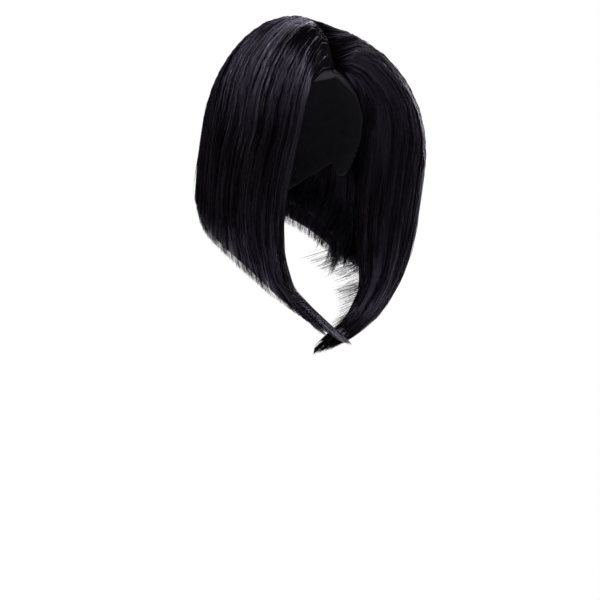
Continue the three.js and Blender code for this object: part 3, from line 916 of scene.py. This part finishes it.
@dataclass
class UnderLock:
    """One lock of the under layer, which leaves the cap inside the outer hair."""

    name: str
    start: float
    end: float
    side: Side
    form: HairForm = HairForm()
    strands: int = 380
    strand_points: int = 11
    base_columns: int = 26
    base_rows: int = 16
    base_shorter: float = 0.8
    curl: float = 12.0
    strand_curl: float = 27.0
    curl_from: float = 0.5
    thinning: float = 0.65
    clumps: int = 13
    uneven_clumps: float = 5.0
    uneven: float = 2.5
    shorter: float = 9.0
    pull: float = 0.85
    front_limit: float = 0.40
    front_shorter: float = 0.0
    front_width: float = 0.12
    strand_radius: float = 0.3
    seed: int = 1

    def layer(self, around: Array, t: Array, longer: Array | float) -> tuple[Array, Array]:
        """Outer surface of the layer: straight down from the cap, drawn out towards the outer hair.

        Args:
            around: places around the head.
            t: places along the strand, 0 at the root and 1 at the tip.
            longer: millimetres that a strand is longer than the layer's hem.

        Returns:
            The points on the left side and their way out.
        """
        form, cap = self.form, self.form.cap
        root = -form.turn(around) - form.under_drop
        tip = -form.under_hem(around, self.side) - longer
        z = root + (tip - root) * t
        across, along = form.ring(around, z, self.side)
        ring = np.stack([across, along, z], -1)
        flat = np.maximum(np.hypot(across, along), TINY)
        direction = np.stack([across / flat, along / flat, 0 * flat], -1)
        hem = form.hem(around, self.side)
        fall = np.minimum(2.0, 1 + (-z - form.turn(around)) / (hem - form.turn(around)))
        _, away = form.depth(ring)
        inside = flat - form.thickness(around, fall, ring, away) - form.layer_clearance
        out = cap.wall + cap.clearance
        reach_x = direction[..., 0] / (cap.half_width + out)
        reach_y = direction[..., 1] / (cap.half_length + out)
        seat = cap.share(root, out) / np.hypot(reach_x, reach_y) + form.under_thickness
        turned = self.curl * smooth((t - self.curl_from) / (1 - self.curl_from))
        radius = np.minimum(seat + form.under_spread * t, inside) - turned
        return direction * radius[..., None] + np.stack([0 * z, 0 * z, z], -1), direction

    def hair(self, parts: MeshParts, rng: np.random.Generator) -> None:
        """Adds the strands, whose tips draw together in clumps and turn in towards the neck."""
        n, k = self.strands, self.strand_points
        around0 = rng.uniform(self.start, self.end, n)
        width = (self.end - self.start) / self.clumps
        clump = np.clip(((around0 - self.start) / width).astype(int), 0, self.clumps - 1)
        centres = self.start + (np.arange(self.clumps) + rng.uniform(0.2, 0.8, self.clumps)) * width
        longer = rng.normal(0, self.uneven_clumps, self.clumps)[clump] + rng.normal(0, self.uneven, n)
        longer -= rng.exponential(self.shorter, n)
        longer -= self.front_shorter * (1 - smooth((around0 - self.start) / self.front_width))
        t = 1 - (1 - np.linspace(0, 1, k)[None, :]) ** 1.35 * np.ones((n, 1))
        pull = self.pull * smooth((t - 0.45) / 0.55) * rng.uniform(0.5, 1.0, n)[:, None]
        around = around0[:, None] + (centres[clump] - around0)[:, None] * pull
        around = np.clip(around, self.front_limit, 0.9995)
        surface, direction = self.layer(around, t, longer[:, None])
        inside = rng.random(n)[:, None] * self.form.under_thickness * (1 - self.thinning * t)
        turned = rng.normal(1.0, 0.16, self.clumps)[clump] * rng.normal(1.0, 0.08, n)
        inward = (self.strand_curl - self.curl) * turned[:, None] * np.clip((t - 0.55) / 0.45, 0, 1) ** 1.8
        paths = (surface - direction * (inside + inward)[..., None]) * self.side.mirror
        size = self.strand_radius * rng.uniform(0.7, 1.2, n)[:, None]
        points, triangles = strand_tubes(paths, size * (0.25 + 0.75 * smooth((1 - t) / 0.3)))
        parts.put(points, triangles, np.stack([np.repeat(around0, k * 3), np.repeat(t.reshape(-1), 3)], -1))

    def build(self, material: bpy.types.Material) -> bpy.types.Object:
        """Builds the lock's base and strands as one piece that stands for its node.

        Args:
            material: the fibre's finish.

        Returns:
            The piece.
        """
        rng = np.random.default_rng(self.seed)
        parts = MeshParts()
        share, t = np.meshgrid(
            np.linspace(0, 1, self.base_columns), np.linspace(0, 1, self.base_rows), indexing="ij"
        )
        around = self.start + 0.0015 + share * (self.end - self.start - 0.003)
        surface, direction = self.layer(around, t * self.base_shorter, 0.0)
        thick = self.form.under_thickness * (1 - self.thinning * t)
        outer = surface - direction * 0.8
        inner = surface - direction * thick[..., None]
        mirror = self.side.mirror
        parts.put_shell(outer * mirror, inner * mirror, np.stack([around, t], -1), self.side is Side.RIGHT)
        self.hair(parts, rng)
        node = f"{self.name}_{self.side.word}"
        piece = parts.to_object(f"combed_{node}", material)
        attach(piece, "root")
        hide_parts(node)
        return piece


@dataclass
class Cap:
    """The net cap with its sewn rows and its edge band."""

    form: CapForm = CapForm()
    columns: int = 144
    rows: int = 64
    row_count: int = 11
    row_height: float = 0.45
    band_share: float = 0.06

    def surface(self, turn: Array, share: Array, out: Array) -> Array:
        """The ellipsoid by direction and share of the way from the pole to the edge."""
        form = self.form
        angle = turn * 2 * np.pi
        half = 1 - np.abs(turn * 2 - 1)
        last = np.arccos((form.depth - form.edge(half)) / (form.depth + form.wall))
        z = (form.depth + out) * np.cos(last * share) - form.depth
        flat = form.share(z, out)
        x = np.sin(angle) * (form.half_width + out) * flat
        return np.stack([x, -np.cos(angle) * (form.half_length + out) * flat, z], -1)

    def build(self, material: bpy.types.Material) -> bpy.types.Object:
        """Builds the cap as one closed shell, with its rows and edge band raised on the inside.

        Args:
            material: the net's finish.

        Returns:
            The piece.
        """
        turn, share = np.meshgrid(
            np.arange(self.columns) / self.columns, np.linspace(1 / self.rows, 1, self.rows), indexing="ij"
        )
        wave = np.sin(share * np.pi * self.row_count) ** 8 * smooth((share - 0.3) / 0.05)
        band = smooth((share - 1 + self.band_share) / 0.01)
        relief = np.maximum(wave * self.row_height * (1 - band), band * self.row_height)
        outer = self.surface(turn, share, self.form.wall + 0 * share)
        inner = self.surface(turn, share, -relief * 0.9)
        count = self.columns * self.rows
        crowns = [[0, 0, self.form.wall], [0, 0, 0]]
        points = np.concatenate([outer.reshape(-1, 3), inner.reshape(-1, 3), crowns])
        number = np.arange(count).reshape(self.columns, self.rows)
        after = np.roll(number, -1, axis=0)
        a, b, c, d = (grid.ravel() for grid in (number[:, :-1], number[:, 1:], after[:, 1:], after[:, :-1]))
        skin = np.concatenate([np.stack([a, b, c], -1), np.stack([a, c, d], -1)])
        rim, rim_after = number[:, -1], after[:, -1]
        top, top_after = number[:, 0], after[:, 0]
        edge = np.concatenate([
            np.stack([rim, rim + count, rim_after + count], -1),
            np.stack([rim, rim_after + count, rim_after], -1),
        ])
        poles = np.concatenate([
            np.stack([0 * top + 2 * count, top, top_after], -1),
            np.stack([0 * top + 2 * count + 1, top_after + count, top + count], -1),
        ])
        triangles = np.concatenate([skin, skin[:, ::-1] + count, edge, poles])
        flat = np.stack([turn * 0.5, share * 0.2], -1).reshape(-1, 2)
        parts = MeshParts()
        parts.put(points, triangles, np.concatenate([flat, flat, [[0, 0], [0, 0]]]))
        piece = parts.to_object("net_cap", material)
        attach(piece, "root")
        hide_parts("cap")
        return piece


@dataclass
class PartingStrip:
    """The narrow woven band under the parting."""

    form: HairForm = HairForm()
    columns: int = 9
    rows: int = 60
    front_lap: float = 1.0
    back_lap: float = 3.0

    def build(self, material: bpy.types.Material) -> bpy.types.Object:
        """Builds the strip over the cap, rounded down at its two long edges.

        Args:
            material: the strip's finish.

        Returns:
            The piece.
        """
        cap = self.form.cap
        share, way = np.meshgrid(
            np.linspace(-1, 1, self.columns), np.linspace(0, 1, self.rows), indexing="ij"
        )
        x = share * cap.strip_half_width
        front = self.form.parting_front + self.front_lap
        y = -front + way * (front + self.form.parting_back + self.back_lap)
        low = cap.height(x, y, cap.wall + cap.gap)
        high = low + cap.strip_thickness * np.sqrt(np.clip(1 - share**6, 0.05, 1))
        outer, inner = np.stack([x, y, high], -1), np.stack([x, y, low], -1)
        parts = MeshParts()
        parts.put_shell(outer, inner, np.stack([x, y], -1) * MM, True)
        piece = parts.to_object("woven_parting_strip", material)
        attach(piece, "root")
        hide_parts("parting_strip")
        return piece


@dataclass(frozen=True)
class Studio:
    """White surroundings, a pale floor, soft lights and the camera."""

    head_origin: Triple = (0.0, -0.008, -0.130)
    azimuth: float = -37.7
    elevation: float = -6.19
    roll: float = -10.14
    distance: float = 2.0
    pixels_per_metre: float = 960.0
    image_size: float = 600.0
    origin_pixel: tuple[float, float] = (286.2, 169.4)
    floor_height: float = -0.62
    sensor: float = 36.0
    ambient: float = 0.03
    light_aim: Triple = (0.0, 0.0, -0.1)
    light_colour: Triple = (0.92, 0.9, 1.0)
    clip: tuple[float, float] = (0.05, 50.0)
    floor_reach: float = 30.0
    # name, place, side of the square, watts
    lamps: tuple = (
        ("near top", (-0.66, 0.51, 1.32), 1.2, 33.0), ("far top", (0.92, -0.71, 1.07), 1.0, 40.0),
        ("key", (-0.71, -0.92, 1.07), 1.0, 10.0), ("back top", (0.45, 0.58, 1.38), 1.0, 14.0),
        ("near back", (-0.41, 1.37, 0.73), 1.0, 8.0), ("far back", (1.43, -0.05, 0.73), 1.0, 36.0),
        ("low far side", (1.41, -0.69, 0.02), 0.8, 26.0),
    )

    def axes(self) -> tuple[Vector, Vector, Vector]:
        """The camera's right, up and back directions, rolled."""
        a, e, r = (math.radians(v) for v in (self.azimuth, self.elevation, self.roll))
        back = Vector((math.sin(a) * math.cos(e), -math.cos(a) * math.cos(e), math.sin(e)))
        right = Vector((math.cos(a), math.sin(a), 0.0))
        up = back.cross(right)
        return right * math.cos(r) - up * math.sin(r), right * math.sin(r) + up * math.cos(r), back

    def camera(self) -> None:
        """Makes the camera at the photograph's angle, turned so that the frame's middle fits."""
        right, up, back = self.axes()
        head = Vector(self.head_origin)
        place = head + back * self.distance
        half = self.image_size / 2
        aim = head + right * ((half - self.origin_pixel[0]) / self.pixels_per_metre)
        aim += up * ((self.origin_pixel[1] - half) / self.pixels_per_metre)
        look = (place - aim).normalized()
        side = up.cross(look).normalized()
        data = bpy.data.cameras.new("camera")
        data.sensor_width = self.sensor
        data.lens = self.sensor * self.pixels_per_metre * self.distance / self.image_size
        data.clip_start, data.clip_end = self.clip
        camera = bpy.data.objects.new("camera", data)
        turned = Matrix((side, look.cross(side), look)).transposed().to_4x4()
        camera.matrix_world = Matrix.Translation(place) @ turned
        bpy.context.scene.collection.objects.link(camera)
        bpy.context.scene.camera = camera

    def lights(self) -> None:
        """Makes the square soft lights round the wig: over it, over the camera, behind it and beside it."""
        for name, place, size, power in self.lamps:
            data = bpy.data.lights.new(name, "AREA")
            data.energy, data.size, data.color = power, size, self.light_colour
            lamp = bpy.data.objects.new(name, data)
            lamp.location = Vector(place)
            lamp.rotation_mode = "QUATERNION"
            lamp.rotation_quaternion = (Vector(self.light_aim) - lamp.location).to_track_quat("-Z", "Y")
            bpy.context.scene.collection.objects.link(lamp)

    def surroundings(self) -> None:
        """Makes the white world, dimmer as a light than as a backdrop, and the floor."""
        world = bpy.data.worlds.new("studio")
        bpy.context.scene.world = world
        nodes = NodeTree(world)
        white = (1.0, 1.0, 1.0, 1.0)
        dim = nodes.add("Background", None, {"Color": white, "Strength": self.ambient})
        full = nodes.add("Background", None, {"Color": white, "Strength": 1.0})
        seen = nodes.add("LightPath")
        shade = nodes.add("MixShader", None, {0: seen, 1: dim, 2: full})
        nodes.add("OutputWorld", None, {0: shade})
        mesh = bpy.data.meshes.new("floor")
        corners = ((-1, -1), (1, -1), (1, 1), (-1, 1))
        points = [(x * self.floor_reach, y * self.floor_reach, self.floor_height) for x, y in corners]
        mesh.from_pydata(points, [], [(0, 1, 2, 3)])
        floor = bpy.data.objects.new("floor", mesh)
        bpy.context.scene.collection.objects.link(floor)
        material = bpy.data.materials.new("pale_floor")
        tree = NodeTree(material)
        plain = {"Base Color": (0.8, 0.8, 0.8, 1.0), "Roughness": 0.8, "Specular IOR Level": 0.1}
        matte = tree.add("BsdfPrincipled", None, plain)
        bright = tree.add("Emission", None, {"Color": white, "Strength": 1.0})
        view = tree.add("LightPath")
        shader = tree.add("MixShader", None, {0: view, 1: matte, 2: bright})
        tree.add("OutputMaterial", None, {0: shader})
        mesh.materials.append(material)

    def build(self) -> None:
        """Sets up the whole studio and a plain view transform."""
        self.camera()
        self.lights()
        self.surroundings()
        bpy.context.scene.view_settings.view_transform = "Standard"


@dataclass
class Wig:
    """The whole wig: its cap, its strip and the locks of both halves."""

    # name, start and end around the head, millimetres past the hem, share of clumps that turn in
    locks: tuple = (
        ("face_lock", 0.0, 0.13, 6.5, 0.0), ("cheek_lock", 0.13, 0.28, 6.0, 0.34),
        ("temple_lock", 0.28, 0.44, 3.0, 0.42), ("side_lock", 0.44, 0.62, 1.5, 0.2),
        ("back_lock", 0.62, 0.81, 1.5, 0.0), ("crown_lock", 0.81, 1.0, 1.5, 0.0),
    )
    # name, start and end around the head, strands, clumps, turn of the tips in millimetres
    under_locks: tuple = (
        ("under_ear_lock", 0.42, 0.6, 520, 20, 19.0), ("under_back_lock", 0.6, 0.8, 340, 13, 17.0),
        ("under_nape_lock", 0.8, 1.0, 340, 13, 17.0),
    )
    ear_front_shorter: float = 34.0
    fibre: FibreFinish = FibreFinish("hair", (0.003, 0.0026, 0.0032), (0.012, 0.0078, 0.0092), 0.33, 0.5)
    under_fibre: FibreFinish = FibreFinish(
        "under_hair", (0.003, 0.0027, 0.0033), (0.009, 0.0066, 0.0078), 0.4, 0.4
    )

    def build(self) -> None:
        """Builds every piece and reports it."""
        made = [Cap().build(NetFinish().material()), PartingStrip().build(StripFinish().material())]
        hair, under = self.fibre.material(), self.under_fibre.material()
        for side in Side:
            for number, (name, start, end, longer, inner) in enumerate(self.locks):
                lock = Lock(name, start, end, side, longer=longer, inner_share=inner)
                lock.seed = 100 * (side.value + 2) + number
                made.append(lock.build(hair))
            for number, (name, start, end, strands, clumps, curl) in enumerate(self.under_locks):
                lock = UnderLock(name, start, end, side, strands=strands, clumps=clumps, strand_curl=curl)
                lock.seed = 50 * (side.value + 2) + number
                lock.front_shorter = self.ear_front_shorter if number == 0 else 0.0
                made.append(lock.build(under))
        for piece in made:
            LOG.info("%s: %d triangles", piece.name, len(piece.data.polygons))
        LOG.info("in all %d triangles", sum(len(piece.data.polygons) for piece in made))


def main() -> None:
    """Builds the wig and its studio."""
    logging.basicConfig(level=logging.INFO, format="%(name)s %(message)s")
    Wig().build()
    Studio().build()


if __name__ == "__main__":
    main()
